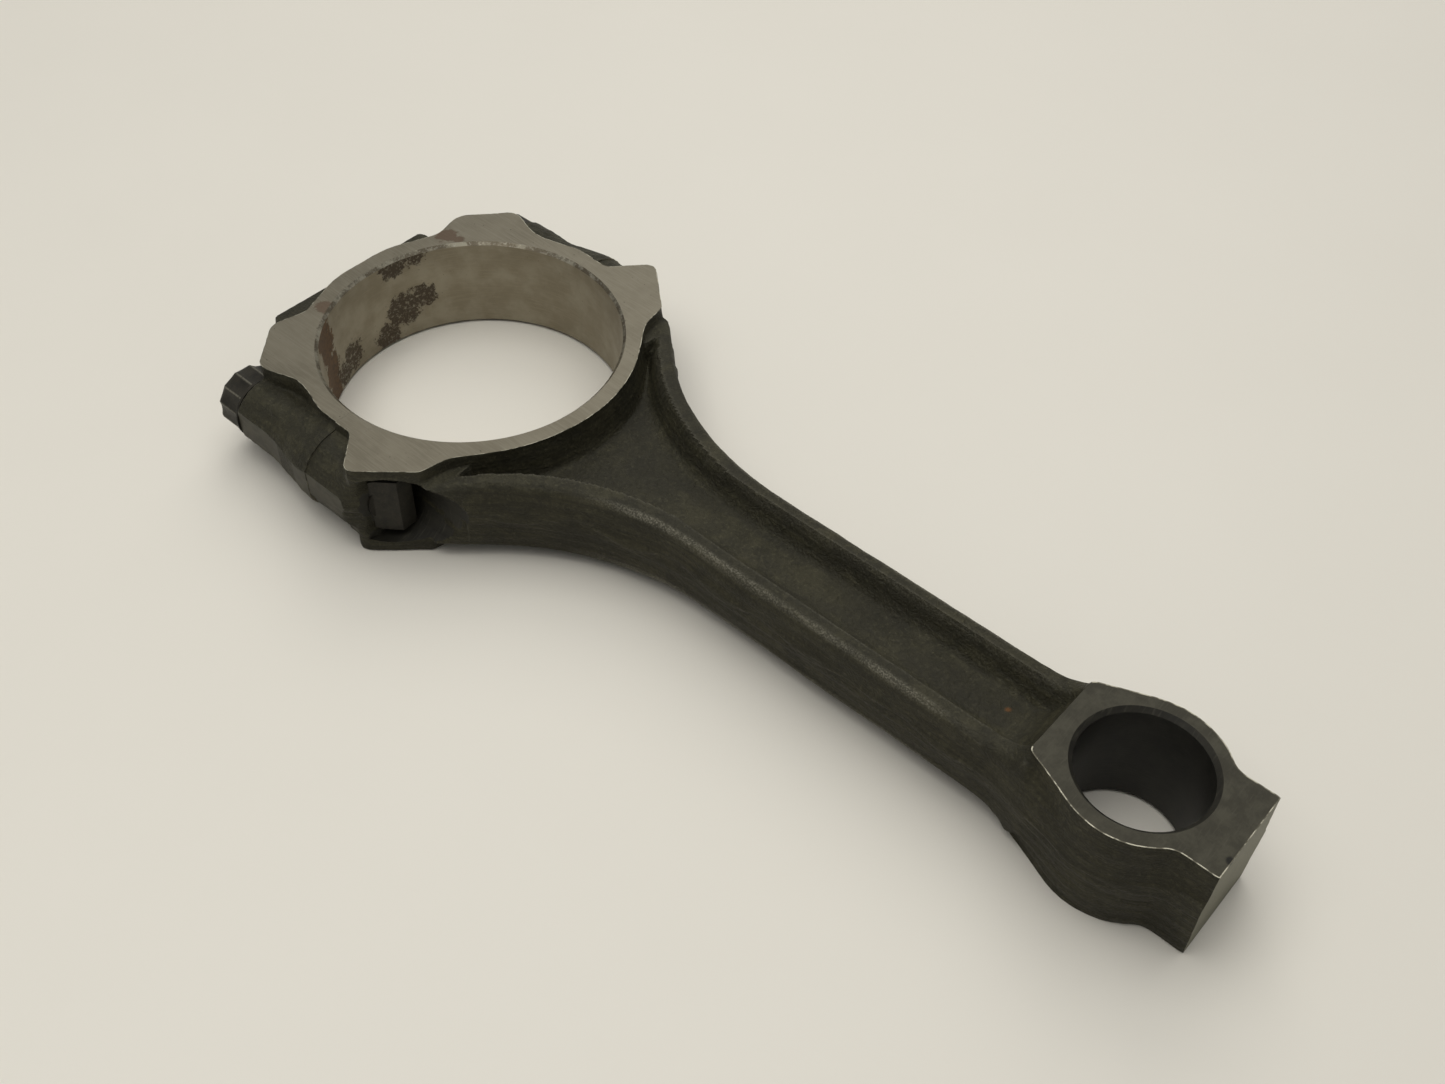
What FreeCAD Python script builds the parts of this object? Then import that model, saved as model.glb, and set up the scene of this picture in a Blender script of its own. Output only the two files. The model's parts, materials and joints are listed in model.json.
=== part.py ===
import FreeCAD, Part
import math
import os
import Sketcher

# Forged I-beam connecting rod with a bolted big-end cap, in millimetres.
# The origin is the centre of the crankpin bore at mid-thickness, +X runs to the pin end
# and +Z runs along both bores. The cap joint is the plane x = 0 and the forging is
# symmetric about y = 0 and z = 0.

DIMENSIONS = [
    # bores and overall layout
    ("centre_distance", 171.07),      # crankpin axis to piston-pin axis
    ("crank_bore_radius", 33.33),
    ("crank_bore_chamfer", 0.7),
    ("big_end_thickness", 23.54),
    ("pin_bore_radius", 12.43),
    ("pin_bore_chamfer", 0.9),
    ("small_end_thickness", 26.2),
    # big-end thrust face of the rod: pillar, ear tip, sloped shoulder, flank, ring
    ("joint_face_y", 38.1),
    ("pillar_x", 4.7),
    ("pillar_y", 38.1),
    ("pillar_round", 1.5),
    ("ear_tip_x", 12.3),
    ("ear_tip_y", 46.6),
    ("ear_tip_round", 2.4),
    ("ear_root_x", 24.1),
    ("ear_root_y", 36.0),
    ("ear_root_round", 1.2),
    ("ear_flank_x", 25.4),
    ("ear_flank_y", 29.2),
    ("ear_flank_round", 9.0),
    ("ring_radius", 37.1),
    ("ring_corner_x", 45.6),          # where the tangents to the ring's outer arc meet
    # I-beam shank and its flare into the big end
    ("beam_thickness", 17.2),
    ("beam_half_width", 11.5),
    ("beam_edge_round", 1.6),
    ("flare_start_x", 6.0),
    ("flare_start_y", 46.0),
    ("flare_top_x", 16.8),
    ("flare_root_round", 4.0),
    ("flare_corner_x", 51.3),
    ("flare_radius", 64.0),
    ("neck_x", 149.0),
    ("neck_round", 16.0),
    # pin end: eye, waist and milled weight pad
    ("eye_face_x", 154.0),
    ("eye_face_y", 10.2),
    ("eye_face_round", 1.2),
    ("eye_radius", 16.0),
    ("eye_crown_x", 174.2),           # where the tangents to the eye's outer arc meet
    ("eye_crown_y", 18.7),
    ("waist_x", 183.3),
    ("waist_y", 10.6),
    ("waist_round", 5.0),
    ("weight_pad_x", 191.6),
    ("weight_pad_round", 0.4),
    ("ramp_round", 4.0),
    # recess between the flanges
    ("web_thickness", 6.0),
    ("recess_ring_radius", 39.0),
    ("recess_ring_corner_x", 45.0),
    ("recess_tip_x", 32.7),
    ("recess_tip_y", 22.0),
    ("recess_heel_x", 34.4),
    ("recess_heel_y", 23.3),
    ("recess_tip_round", 1.0),
    ("recess_half_width", 7.7),
    ("recess_flare_corner_x", 50.0),
    ("recess_flare_radius", 61.0),
    ("recess_end_x", 151.0),
    ("recess_end_round", 4.5),
    # bolts, their bosses, shoulders and head pockets
    ("bolt_spread", 38.6),            # bolt axis to the rod's centre line
    ("bolt_radius", 4.76),
    ("bolt_clearance", 0.04),
    ("bolt_boss_radius", 9.6),
    ("bolt_boss_length", 14.0),
    ("shoulder_reach", 52.0),
    ("shoulder_step_x", 26.4),
    ("shoulder_step_y", 37.6),
    ("head_seat_x", 14.1),
    ("head_radius", 7.6),
    ("head_thickness", 4.7),
    ("head_flat_y", 35.0),
    ("head_facet_y", 42.9),
    ("head_facet_top_y", 38.8),
    ("pocket_radius", 9.1),
    ("pocket_spread", 41.0),          # pocket axis, outboard of the bolt to miss the bore
    ("pocket_length", 20.0),
    # cap: thrust face, barrels, weight pad and nut seats
    ("cap_pillar_x", 5.0),
    ("cap_pillar_y", 37.9),
    ("cap_pillar_round", 8.0),
    ("cap_waist_x", 15.5),
    ("cap_waist_y", 35.0),
    ("cap_waist_round", 9.0),
    ("cap_lobe_x", 25.8),
    ("cap_lobe_y", 38.3),
    ("cap_lobe_round", 3.6),
    ("cap_lobe_back_x", 34.9),
    ("cap_lobe_back_y", 27.6),
    ("cap_lobe_back_round", 4.5),
    ("cap_hollow_x", 32.9),
    ("cap_hollow_y", 19.6),
    ("cap_hollow_round", 5.0),
    ("cap_crown_x", 37.6),
    ("cap_crown_y", 7.5),
    ("cap_crown_round", 22.0),
    ("barrel_radius", 7.8),
    ("barrel_root_radius", 10.1),
    ("barrel_taper_x", 14.0),
    ("nut_seat_x", 26.0),
    ("nut_spotface_radius", 9.5),
    ("cap_pad_x", 43.0),
    ("cap_pad_half_width", 21.9),
    ("cap_pad_thickness", 11.8),
    ("cap_pad_round", 1.5),
    # twelve-point nuts
    ("nut_height", 7.4),
    ("nut_corner_radius", 7.5),
    ("nut_valley_radius", 6.75),
    ("nut_chamfer", 0.9),
    ("nut_bore_clearance", 0.05),
]

doc = FreeCAD.newDocument("connecting_rod")
sizes = doc.addObject("Spreadsheet::Sheet", "Sizes")
for row, (alias, value) in enumerate(DIMENSIONS, start=1):
    sizes.set("A%d" % row, alias)
    sizes.set("B%d" % row, str(value))
    sizes.setAlias("B%d" % row, alias)
doc.recompute()


def size(alias):
    """Return a driving dimension from the sheet as a number."""
    return float(sizes.get(alias))


def value_of(expression):
    """Work out a sheet expression such as '-Sizes.beam_half_width' as a number."""
    return float(sizes.evalExpression(expression))


def cell(alias):
    return "Sizes." + alias


def plane(body, role):
    """Return one of a body's own origin planes, such as XY_Plane."""
    return next(item for item in body.Origin.OriginFeatures if item.Role == role)


def new_body(name):
    body = doc.addObject("PartDesign::Body", name)
    body.Label = name
    return body


def new_sketch(body, name, role, offset=None):
    """Make a sketch on an origin plane, moved along the plane's normal by an expression."""
    sketch = body.newObject("Sketcher::SketchObject", name)
    sketch.AttachmentSupport = [(plane(body, role), "")]
    sketch.MapMode = "FlatFace"
    if offset:
        sketch.setExpression("AttachmentOffset.Base.z", offset)
    return sketch


def corner_outline(sketch, corners):
    """Draw a closed outline of straight runs with a tangent arc at each corner.

    A corner is (x, y, radius), three expressions on the sheet's cells. The three are
    bound to the corner's construction point and to its arc.
    """
    points = [FreeCAD.Vector(value_of(x), value_of(y), 0) for x, y, radius in corners]
    radii = [value_of(radius) for x, y, radius in corners]
    count = len(points)
    arcs = []
    for i, point in enumerate(points):
        back = (points[i - 1] - point).normalize()
        ahead = (points[(i + 1) % count] - point).normalize()
        half_angle = back.getAngle(ahead) / 2
        reach = radii[i] / math.tan(half_angle)
        middle = (back + ahead).normalize()
        centre = point + middle * (radii[i] / math.sin(half_angle))
        arcs.append((point + back * reach, centre - middle * radii[i], point + ahead * reach))
    geometry = []
    for i in range(count):
        geometry.append(Part.Arc(*arcs[i]))
        geometry.append(Part.LineSegment(arcs[i][2], arcs[(i + 1) % count][0]))
    sketch.addGeometry(geometry, False)
    sketch.addGeometry([Part.Point(point) for point in points], True)
    constraints = []
    for i in range(count):
        # A three-point arc is stored anticlockwise, so its ends may be the other way round.
        arc, line, last_line = 2 * i, 2 * i + 1, (2 * i - 1) % (2 * count)
        start_first = sketch.getPoint(arc, 1).distanceToPoint(arcs[i][0]) < 1e-6
        entry, leave = (1, 2) if start_first else (2, 1)
        constraints.append(Sketcher.Constraint("Tangent", last_line, 2, arc, entry))
        constraints.append(Sketcher.Constraint("Tangent", arc, leave, line, 1))
        corner = 2 * count + i
        constraints.append(Sketcher.Constraint("PointOnObject", corner, 1, last_line))
        constraints.append(Sketcher.Constraint("PointOnObject", corner, 1, line))
    sketch.addConstraint(constraints)
    for i, (x, y, radius) in enumerate(corners):
        corner = 2 * count + i
        bound = [
            (Sketcher.Constraint("DistanceX", corner, 1, points[i].x), x),
            (Sketcher.Constraint("DistanceY", corner, 1, points[i].y), y),
            (Sketcher.Constraint("Radius", 2 * i, radii[i]), radius),
        ]
        for constraint, expression in bound:
            index = sketch.addConstraint(constraint)
            sketch.setExpression("Constraints[%d]" % index, expression)
    return sketch


def mirrored(half):
    """Close a half outline, given as cell names for y > 0, with its mirror image.

    A corner whose y is None lies on the centre line and isn't repeated.
    """
    upper = [(cell(x), cell(y) if y else "0", cell(r)) for x, y, r in half]
    lower = [(cell(x), "-" + cell(y), cell(r)) for x, y, r in reversed(half) if y]
    return upper + lower


def polygon(sketch, points):
    """Draw a closed outline of straight runs through points bound to the sheet."""
    places = [FreeCAD.Vector(value_of(x), value_of(y), 0) for x, y in points]
    count = len(places)
    edges = [Part.LineSegment(places[i], places[(i + 1) % count]) for i in range(count)]
    sketch.addGeometry(edges, False)
    for i in range(count):
        sketch.addConstraint(Sketcher.Constraint("Coincident", i, 2, (i + 1) % count, 1))
    for i, (x, y) in enumerate(points):
        for kind, place, expression in (("DistanceX", places[i].x, x), ("DistanceY", places[i].y, y)):
            index = sketch.addConstraint(Sketcher.Constraint(kind, i, 1, place))
            sketch.setExpression("Constraints[%d]" % index, expression)
    return sketch


def circles(sketch, circle_list):
    """Draw full circles, each (x, y, radius) as expressions on the sheet."""
    for x, y, radius in circle_list:
        centre = FreeCAD.Vector(value_of(x), value_of(y), 0)
        ring = sketch.addGeometry(Part.Circle(centre, FreeCAD.Vector(0, 0, 1), value_of(radius)), False)
        bound = [
            (Sketcher.Constraint("DistanceX", ring, 3, centre.x), x),
            (Sketcher.Constraint("DistanceY", ring, 3, centre.y), y),
            (Sketcher.Constraint("Radius", ring, value_of(radius)), radius),
        ]
        for constraint, expression in bound:
            index = sketch.addConstraint(constraint)
            sketch.setExpression("Constraints[%d]" % index, expression)
    return sketch


def pad(body, sketch, length, symmetric=False, backwards=False):
    feature = body.newObject("PartDesign::Pad", sketch.Name + "Pad")
    feature.Profile = sketch
    feature.SideType = "Symmetric" if symmetric else "One side"
    feature.Reversed = backwards
    feature.setExpression("Length", length)
    doc.recompute()
    return feature


def pocket(body, sketch, length, symmetric=False, backwards=False):
    """Cut a sketch away and make sure that it really removed something."""
    before = body.Shape.Volume
    feature = body.newObject("PartDesign::Pocket", sketch.Name + "Pocket")
    feature.Profile = sketch
    feature.SideType = "Symmetric" if symmetric else "One side"
    feature.Reversed = backwards
    feature.setExpression("Length", length)
    doc.recompute()
    if body.Shape.Volume > before - 1e-3:
        raise RuntimeError(feature.Name + " removed nothing")
    return feature


def edge_names(shape, wanted):
    """Name the edges that a test on (edge, middle point) accepts."""
    names = []
    for number, edge in enumerate(shape.Edges, start=1):
        middle = edge.valueAt((edge.FirstParameter + edge.LastParameter) / 2)
        if wanted(edge, middle):
            names.append("Edge%d" % number)
    return names


def dress(body, kind, name, wanted, amount_property, amount):
    """Add a fillet or chamfer on every edge of the body's tip that a test accepts."""
    tip = body.Tip
    names = edge_names(tip.Shape, wanted)
    if not names:
        raise RuntimeError(name + " found no edges")
    feature = body.newObject("PartDesign::" + kind, name)
    feature.Base = (tip, names)
    feature.setExpression(amount_property, amount)
    doc.recompute()
    return feature


def on_circle(middle, centre_x, radius):
    return abs(math.hypot(middle.x - centre_x, middle.y) - radius) < 0.05


def chamfer_bore(body, name, centre_x, radius, half_thickness, amount):
    """Break both mouths of a bore that runs along Z."""
    return dress(
        body, "Chamfer", name,
        lambda edge, middle: on_circle(middle, centre_x, radius)
        and abs(abs(middle.z) - half_thickness) < 0.01,
        "Size", cell(amount),
    )


def side_circles(sketch, spread, radius):
    """Draw one circle on each side of the centre line on a sketch in the YZ plane."""
    return circles(sketch, [(spread, "0", radius), ("-" + spread, "0", radius)])


def bolt_circles(sketch, radius):
    """Draw a circle about each bolt axis on a sketch in the YZ plane."""
    return side_circles(sketch, cell("bolt_spread"), radius)


def build_rod():
    """Rod: forged shank, both eyes and the upper half of the crankpin bore."""
    rod = new_body("rod")

    shank = corner_outline(new_sketch(rod, "Shank", "XY_Plane"), mirrored([
        ("flare_start_x", "flare_start_y", "flare_root_round"),
        ("flare_top_x", "flare_start_y", "flare_root_round"),
        ("flare_corner_x", "beam_half_width", "flare_radius"),
        ("neck_x", "beam_half_width", "neck_round"),
        ("centre_distance", "eye_radius", "flare_root_round"),
    ]))
    pad(rod, shank, cell("beam_thickness"), symmetric=True)

    recess = mirrored([
        ("recess_ring_corner_x", None, "recess_ring_radius"),
        ("recess_tip_x", "recess_tip_y", "recess_tip_round"),
        ("recess_heel_x", "recess_heel_y", "recess_tip_round"),
        ("recess_flare_corner_x", "recess_half_width", "recess_flare_radius"),
        ("recess_end_x", "recess_half_width", "recess_end_round"),
    ])
    depth = "(Sizes.beam_thickness - Sizes.web_thickness) / 2"
    for name, offset, backwards in (("RecessTop", "Sizes.web_thickness / 2", True),
                                    ("RecessUnder", "-Sizes.web_thickness / 2", False)):
        sketch = corner_outline(new_sketch(rod, name, "XY_Plane", offset), recess)
        pocket(rod, sketch, depth, backwards=backwards)

    edge_z = size("beam_thickness") / 2
    dress(rod, "Fillet", "FlangeRound",
          lambda edge, middle: abs(abs(middle.z) - edge_z) < 0.01
          and abs(abs(middle.y) - size("beam_half_width")) < 0.01,
          "Radius", cell("beam_edge_round"))

    eye = corner_outline(new_sketch(rod, "PinEye", "XY_Plane"), mirrored([
        ("eye_face_x", "eye_face_y", "eye_face_round"),
        ("eye_crown_x", "eye_crown_y", "eye_radius"),
        ("waist_x", "waist_y", "waist_round"),
        ("weight_pad_x", "waist_y", "weight_pad_round"),
    ]))
    pad(rod, eye, cell("small_end_thickness"), symmetric=True)

    dress(rod, "Fillet", "NeckRamp",
          lambda edge, middle: abs(abs(middle.z) - edge_z) < 0.01
          and abs(middle.x - size("eye_face_x")) < 0.01,
          "Radius", cell("ramp_round"))

    face = corner_outline(new_sketch(rod, "ThrustFace", "XY_Plane"), thrust_face_outline())
    pad(rod, face, cell("big_end_thickness"), symmetric=True)

    bosses = bolt_circles(new_sketch(rod, "BoltBosses", "YZ_Plane"), cell("bolt_boss_radius"))
    pad(rod, bosses, cell("bolt_boss_length"))

    slope = "(Sizes.ear_tip_y - Sizes.ear_root_y) / (Sizes.ear_root_x - Sizes.ear_tip_x)"
    outer_y = cell("shoulder_reach")
    outer_x = "Sizes.ear_tip_x - (%s - Sizes.ear_tip_y) / (%s)" % (outer_y, slope)
    for name, sign in (("ShoulderFar", ""), ("ShoulderNear", "-")):
        sketch = polygon(new_sketch(rod, name, "XY_Plane"), [
            (outer_x, sign + outer_y),
            (cell("ear_root_x"), sign + cell("ear_root_y")),
            (cell("shoulder_step_x"), sign + cell("shoulder_step_y")),
            (cell("shoulder_step_x"), sign + outer_y),
        ])
        pocket(rod, sketch, cell("small_end_thickness"), symmetric=True)

    holes = bolt_circles(new_sketch(rod, "BoltHoles", "YZ_Plane"),
                         "Sizes.bolt_radius + Sizes.bolt_clearance")
    pocket(rod, holes, "Sizes.head_seat_x + 1", backwards=True)

    pockets = side_circles(new_sketch(rod, "HeadPockets", "YZ_Plane", cell("head_seat_x")),
                           cell("pocket_spread"), cell("pocket_radius"))
    pocket(rod, pockets, cell("pocket_length"), backwards=True)

    bores = circles(new_sketch(rod, "Bores", "XY_Plane"), [
        ("0", "0", cell("crank_bore_radius")),
        (cell("centre_distance"), "0", cell("pin_bore_radius")),
    ])
    pocket(rod, bores, "2 * Sizes.small_end_thickness", symmetric=True)
    chamfer_bore(rod, "CrankMouths", 0, size("crank_bore_radius"),
                 size("big_end_thickness") / 2, "crank_bore_chamfer")
    chamfer_bore(rod, "PinMouths", size("centre_distance"), size("pin_bore_radius"),
                 size("small_end_thickness") / 2, "pin_bore_chamfer")
    return rod


def thrust_face_outline():
    """Outline of the rod's full-thickness ring and ears, from the joint face outwards."""
    half = [
        ("pillar_x", "pillar_y", "pillar_round"),
        ("ear_tip_x", "ear_tip_y", "ear_tip_round"),
        ("ear_root_x", "ear_root_y", "ear_root_round"),
        ("ear_flank_x", "ear_flank_y", "ear_flank_round"),
    ]
    upper = [(cell(x), cell(y), cell(r)) for x, y, r in half]
    lower = [(cell(x), "-" + cell(y), cell(r)) for x, y, r in reversed(half)]
    joint = [("0", "-" + cell("joint_face_y"), "0.01"), ("0", cell("joint_face_y"), "0.01")]
    ring = [(cell("ring_corner_x"), "0", cell("ring_radius"))]
    return upper + ring + lower + joint


def flat_circle(sketch, sign, radius, flat_y):
    """Draw a circle about a bolt axis with the side towards the bore cut off flat."""
    centre_y = value_of(sign + cell("bolt_spread"))
    chord_y = value_of(sign + flat_y)
    reach = value_of(radius)
    rise = math.sqrt(reach ** 2 - (centre_y - chord_y) ** 2)
    low, high = FreeCAD.Vector(chord_y, -rise, 0), FreeCAD.Vector(chord_y, rise, 0)
    far = FreeCAD.Vector(centre_y + math.copysign(reach, centre_y), 0, 0)
    arc = sketch.addGeometry(Part.Arc(low, far, high), False)
    chord = sketch.addGeometry(Part.LineSegment(low, high), False)
    low_end = 1 if sketch.getPoint(arc, 1).distanceToPoint(low) < 1e-6 else 2
    sketch.addConstraint(Sketcher.Constraint("Coincident", arc, low_end, chord, 1))
    sketch.addConstraint(Sketcher.Constraint("Coincident", arc, 3 - low_end, chord, 2))
    sketch.addConstraint(Sketcher.Constraint("Vertical", chord))
    sketch.addConstraint(Sketcher.Constraint("PointOnObject", arc, 3, -1))
    bound = [
        (Sketcher.Constraint("DistanceX", arc, 3, centre_y), sign + cell("bolt_spread")),
        (Sketcher.Constraint("DistanceX", chord, 1, chord_y), sign + flat_y),
        (Sketcher.Constraint("Radius", arc, reach), radius),
    ]
    for constraint, expression in bound:
        index = sketch.addConstraint(constraint)
        sketch.setExpression("Constraints[%d]" % index, expression)
    return sketch


def build_cap():
    """Cap: the other half of the crankpin bore, a bolt barrel each side and a weight pad."""
    cap = new_body("cap")

    half = [
        ("cap_pillar_x", "cap_pillar_y", "cap_pillar_round"),
        ("cap_waist_x", "cap_waist_y", "cap_waist_round"),
        ("cap_lobe_x", "cap_lobe_y", "cap_lobe_round"),
        ("cap_lobe_back_x", "cap_lobe_back_y", "cap_lobe_back_round"),
        ("cap_hollow_x", "cap_hollow_y", "cap_hollow_round"),
        ("cap_crown_x", "cap_crown_y", "cap_crown_round"),
    ]
    upper = [("-" + cell(x), cell(y), cell(r)) for x, y, r in half]
    lower = [("-" + cell(x), "-" + cell(y), cell(r)) for x, y, r in reversed(half)]
    joint = [("0", "-" + cell("joint_face_y"), "0.01"), ("0", cell("joint_face_y"), "0.01")]
    ring = corner_outline(new_sketch(cap, "CapRing", "XY_Plane"), upper + lower + joint)
    pad(cap, ring, cell("big_end_thickness"), symmetric=True)

    barrels = bolt_circles(new_sketch(cap, "Barrels", "YZ_Plane"), cell("barrel_radius"))
    pad(cap, barrels, cell("nut_seat_x"), backwards=True)
    for name, sign in (("RootFar", 1), ("RootNear", -1)):
        root = cap.newObject("PartDesign::AdditiveCone", name)
        root.AttachmentSupport = [(plane(cap, "YZ_Plane"), "")]
        root.MapMode = "FlatFace"
        root.MapReversed = True
        root.setExpression("AttachmentOffset.Base.x", "%d * Sizes.bolt_spread" % -sign)
        root.setExpression("Radius1", cell("barrel_root_radius"))
        root.setExpression("Radius2", cell("barrel_radius"))
        root.setExpression("Height", cell("barrel_taper_x"))
        doc.recompute()

    weight = corner_outline(new_sketch(cap, "WeightPad", "XY_Plane"), [
        ("-Sizes.cap_pad_x", "-Sizes.cap_pad_half_width", cell("cap_pad_round")),
        ("-Sizes.cap_pad_x", "Sizes.cap_pad_half_width", cell("cap_pad_round")),
        ("-Sizes.nut_seat_x", "Sizes.cap_pad_half_width", cell("cap_pad_round")),
        ("-Sizes.nut_seat_x", "-Sizes.cap_pad_half_width", cell("cap_pad_round")),
    ])
    pad(cap, weight, cell("cap_pad_thickness"), symmetric=True)

    seats = bolt_circles(new_sketch(cap, "NutSeats", "YZ_Plane", "-Sizes.nut_seat_x"),
                         cell("nut_spotface_radius"))
    pocket(cap, seats, cell("nut_seat_x"), backwards=False)

    holes = bolt_circles(new_sketch(cap, "CapHoles", "YZ_Plane"),
                         "Sizes.bolt_radius + Sizes.bolt_clearance")
    pocket(cap, holes, "Sizes.nut_seat_x + 1", backwards=False)

    bore = circles(new_sketch(cap, "CapBore", "XY_Plane"), [("0", "0", cell("crank_bore_radius"))])
    pocket(cap, bore, "2 * Sizes.big_end_thickness", symmetric=True)
    chamfer_bore(cap, "CapMouths", 0, size("crank_bore_radius"),
                 size("big_end_thickness") / 2, "crank_bore_chamfer")
    return cap


def build_bolt(name, sign):
    """Bolt: flat-sided head on a plain shank that ends level with its nut."""
    bolt = new_body(name)
    side = "" if sign > 0 else "-"
    shank = new_sketch(bolt, name + "_shank", "YZ_Plane", "-(Sizes.nut_seat_x + Sizes.nut_height)")
    circles(shank, [(side + cell("bolt_spread"), "0", cell("bolt_radius"))])
    pad(bolt, shank, "Sizes.nut_seat_x + Sizes.nut_height + Sizes.head_seat_x")

    head = new_sketch(bolt, name + "_head", "YZ_Plane", cell("head_seat_x"))
    flat_circle(head, side, cell("head_radius"), cell("head_flat_y"))
    pad(bolt, head, cell("head_thickness"))

    top_x = "Sizes.head_seat_x + Sizes.head_thickness"
    facet = polygon(new_sketch(bolt, name + "_facet", "XY_Plane"), [
        (cell("head_seat_x"), side + cell("head_facet_y")),
        (top_x, side + cell("head_facet_top_y")),
        ("%s + 2" % top_x, side + cell("head_facet_top_y")),
        ("%s + 2" % top_x, side + cell("shoulder_reach")),
        (cell("head_seat_x"), side + cell("shoulder_reach")),
    ])
    pocket(bolt, facet, "4 * Sizes.head_radius", symmetric=True)
    return bolt


def build_nut(name, sign):
    """Nut: twelve points with valleys between them, chamfered at its outer end."""
    nut = new_body(name)
    side = "" if sign > 0 else "-"
    spread = value_of(side + cell("bolt_spread"))
    outline = new_sketch(nut, name + "_points", "YZ_Plane", "-Sizes.nut_seat_x")
    points = []
    for step in range(24):
        reach = "Sizes.nut_corner_radius" if step % 2 == 0 else "Sizes.nut_valley_radius"
        angle = 15 * step
        points.append(("%sSizes.bolt_spread + %s * cos(%d deg)" % (side, reach, angle),
                       "%s * sin(%d deg)" % (reach, angle)))
    polygon(outline, points)
    pad(nut, outline, cell("nut_height"), backwards=True)

    # A cone with its axis on the bolt trims the corners at the outer end.
    end_x = -size("nut_seat_x") - size("nut_height")
    trim = new_sketch(nut, name + "_trim", "XY_Plane")
    polygon(trim, [
        ("-Sizes.nut_seat_x - Sizes.nut_height",
         side + "Sizes.bolt_spread + Sizes.nut_corner_radius - 1.6 * Sizes.nut_chamfer"),
        ("-Sizes.nut_seat_x - Sizes.nut_height + Sizes.nut_chamfer",
         side + "Sizes.bolt_spread + Sizes.nut_corner_radius + 0.1"),
        ("-Sizes.nut_seat_x - Sizes.nut_height",
         side + "Sizes.bolt_spread + Sizes.nut_corner_radius + 0.1"),
    ])
    axis = trim.addGeometry(Part.LineSegment(FreeCAD.Vector(end_x, spread, 0),
                                             FreeCAD.Vector(0, spread, 0)), True)
    trim.addConstraint(Sketcher.Constraint("Horizontal", axis))
    trim.addConstraint(Sketcher.Constraint("DistanceX", axis, 1, end_x))
    trim.addConstraint(Sketcher.Constraint("DistanceX", axis, 2, -0.5))
    index = trim.addConstraint(Sketcher.Constraint("DistanceY", axis, 1, spread))
    trim.setExpression("Constraints[%d]" % index, side + cell("bolt_spread"))
    before = nut.Shape.Volume
    groove = nut.newObject("PartDesign::Groove", name + "_chamfer")
    groove.Profile = trim
    groove.ReferenceAxis = (trim, ["Axis0"])
    groove.Angle = 360
    doc.recompute()
    if nut.Shape.Volume > before - 1e-3:
        raise RuntimeError(name + " chamfer removed nothing")

    bore = new_sketch(nut, name + "_bore", "YZ_Plane", "-Sizes.nut_seat_x")
    circles(bore, [(side + cell("bolt_spread"), "0", "Sizes.bolt_radius + Sizes.nut_bore_clearance")])
    pocket(nut, bore, "Sizes.nut_height + 1", backwards=False)
    return nut


nodes = [build_rod(), build_cap()]
for label, sign in (("near", -1), ("far", 1)):
    nodes.append(build_bolt("bolt_" + label, sign))
    nodes.append(build_nut("nut_" + label, sign))
doc.recompute()

for item in doc.Objects:
    if "Invalid" in item.State or "Error" in item.State:
        raise RuntimeError("%s is in state %s" % (item.Name, item.State))

os.makedirs("parts", exist_ok=True)
for node in nodes:
    shape = node.Shape
    if shape.isNull() or not shape.isValid() or len(shape.Solids) != 1:
        raise RuntimeError(node.Label + " is not one valid solid")
    shape.exportStep(os.path.join("parts", node.Label + ".step"))
    box = shape.BoundBox
    print("%-9s %9.1f mm3  x %.2f..%.2f  y %.2f..%.2f  z %.2f..%.2f" % (
        node.Label, shape.Volume, box.XMin, box.XMax, box.YMin, box.YMax, box.ZMin, box.ZMax))
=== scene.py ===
import json
import math

import bmesh
import bpy
from mathutils import Matrix, Vector, noise


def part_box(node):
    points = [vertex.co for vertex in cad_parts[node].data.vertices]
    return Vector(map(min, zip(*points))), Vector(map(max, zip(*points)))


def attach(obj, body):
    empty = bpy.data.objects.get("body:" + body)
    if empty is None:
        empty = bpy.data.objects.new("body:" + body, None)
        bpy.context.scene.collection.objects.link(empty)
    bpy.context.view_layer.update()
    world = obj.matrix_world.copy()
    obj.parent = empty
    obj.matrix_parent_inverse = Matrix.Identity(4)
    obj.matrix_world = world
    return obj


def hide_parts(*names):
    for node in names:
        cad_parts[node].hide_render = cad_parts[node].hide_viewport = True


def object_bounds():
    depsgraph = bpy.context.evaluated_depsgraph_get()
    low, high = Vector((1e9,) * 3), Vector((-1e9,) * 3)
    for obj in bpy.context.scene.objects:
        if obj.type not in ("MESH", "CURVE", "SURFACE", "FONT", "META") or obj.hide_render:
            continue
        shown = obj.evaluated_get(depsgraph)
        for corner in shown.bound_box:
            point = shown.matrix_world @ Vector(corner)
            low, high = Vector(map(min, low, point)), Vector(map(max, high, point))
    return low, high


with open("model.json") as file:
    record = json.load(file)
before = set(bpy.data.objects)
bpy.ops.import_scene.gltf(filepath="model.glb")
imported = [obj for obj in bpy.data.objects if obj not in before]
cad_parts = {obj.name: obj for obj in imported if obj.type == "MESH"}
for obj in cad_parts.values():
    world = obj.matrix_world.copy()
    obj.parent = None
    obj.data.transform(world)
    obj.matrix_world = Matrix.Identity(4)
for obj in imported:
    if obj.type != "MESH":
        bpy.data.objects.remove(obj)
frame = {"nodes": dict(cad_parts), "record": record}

# A forged connecting rod with its cap, two bolts and two twelve-point nuts. Every length is
# in metres. The forgings start as copies of the CAD solids with stock left on the machined
# faces. They get a rounded, drafted, slightly uneven skin, and then the faces and bores are
# cut back to size, as on the real part.

CAD_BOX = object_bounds()
MM = 0.001

# ------------------------------------------------------------------ driving dimensions

mounts = {mount["name"]: mount for mount in frame["record"]["mounts"]}

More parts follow.
